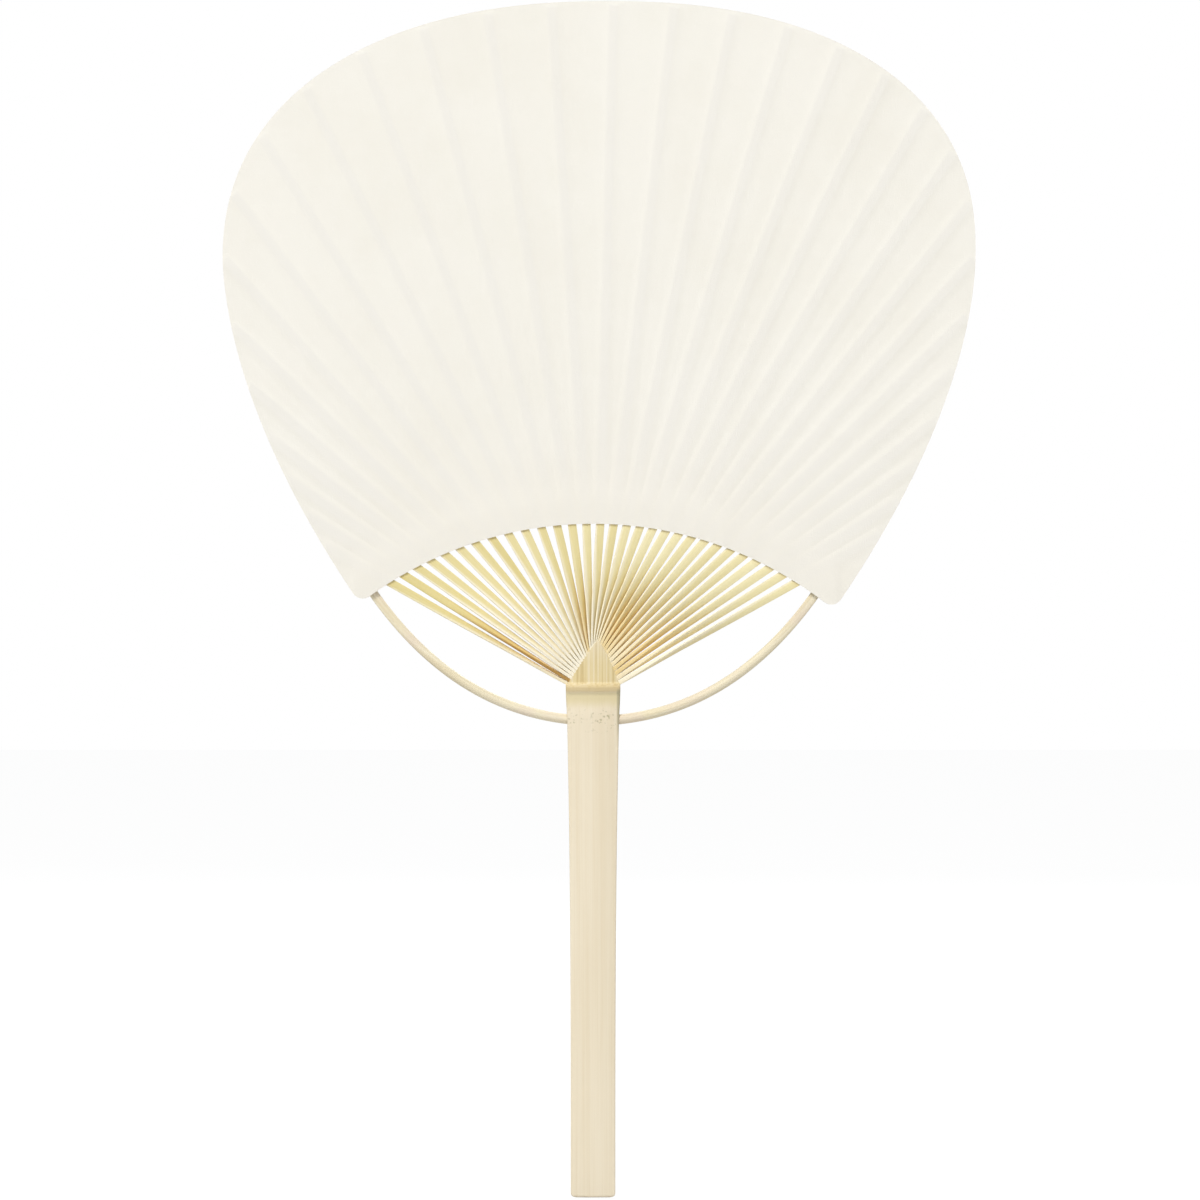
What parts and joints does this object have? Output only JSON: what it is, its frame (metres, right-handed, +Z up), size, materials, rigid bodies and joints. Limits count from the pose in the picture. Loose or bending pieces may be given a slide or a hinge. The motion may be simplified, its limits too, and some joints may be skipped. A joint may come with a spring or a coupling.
{
  "type": "hand fan",
  "caption": "Round paper hand fan on a flat split-bamboo handle, with fine splints between two sheets of paper and a bent bamboo bow through the head of the handle.",
  "frame": {"origin": "in the middle of the hand's grip, on the handle's centre line, half way through its thickness and 80 mm above the butt", "axes": "+Z up the handle to the crown of the leaf, +X to the right seen from the front, +Y from the front face to the flat back"},
  "size_m": [0.24, 0.0059, 0.3812],
  "materials": {
    "handle_bamboo": "satin",
    "splint_bamboo": "satin",
    "bow_bamboo": "satin",
    "cotton_thread": "matte",
    "washi": "matte"
  },
  "bodies": {
    "root": {"handle": "handle_bamboo", "rib_01": "splint_bamboo", "rib_02": "splint_bamboo", "rib_03": "splint_bamboo", "rib_04": "splint_bamboo", "rib_05": "splint_bamboo", "rib_06": "splint_bamboo", "rib_07": "splint_bamboo", "rib_08": "splint_bamboo", "rib_09": "splint_bamboo", "rib_10": "splint_bamboo", "rib_11": "splint_bamboo", "rib_12": "splint_bamboo", "rib_13": "splint_bamboo", "rib_14": "splint_bamboo", "rib_15": "splint_bamboo", "rib_16": "splint_bamboo", "rib_17": "splint_bamboo", "rib_18": "splint_bamboo", "rib_19": "splint_bamboo", "rib_20": "splint_bamboo", "rib_21": "splint_bamboo", "rib_22": "splint_bamboo", "rib_23": "splint_bamboo", "rib_24": "splint_bamboo", "rib_25": "splint_bamboo", "rib_26": "splint_bamboo", "rib_27": "splint_bamboo", "rib_28": "splint_bamboo", "rib_29": "splint_bamboo", "rib_30": "splint_bamboo", "bow": "bow_bamboo", "weaving_thread": "cotton_thread", "front_paper": "washi", "back_paper": "washi"}
  },
  "joints": []
}
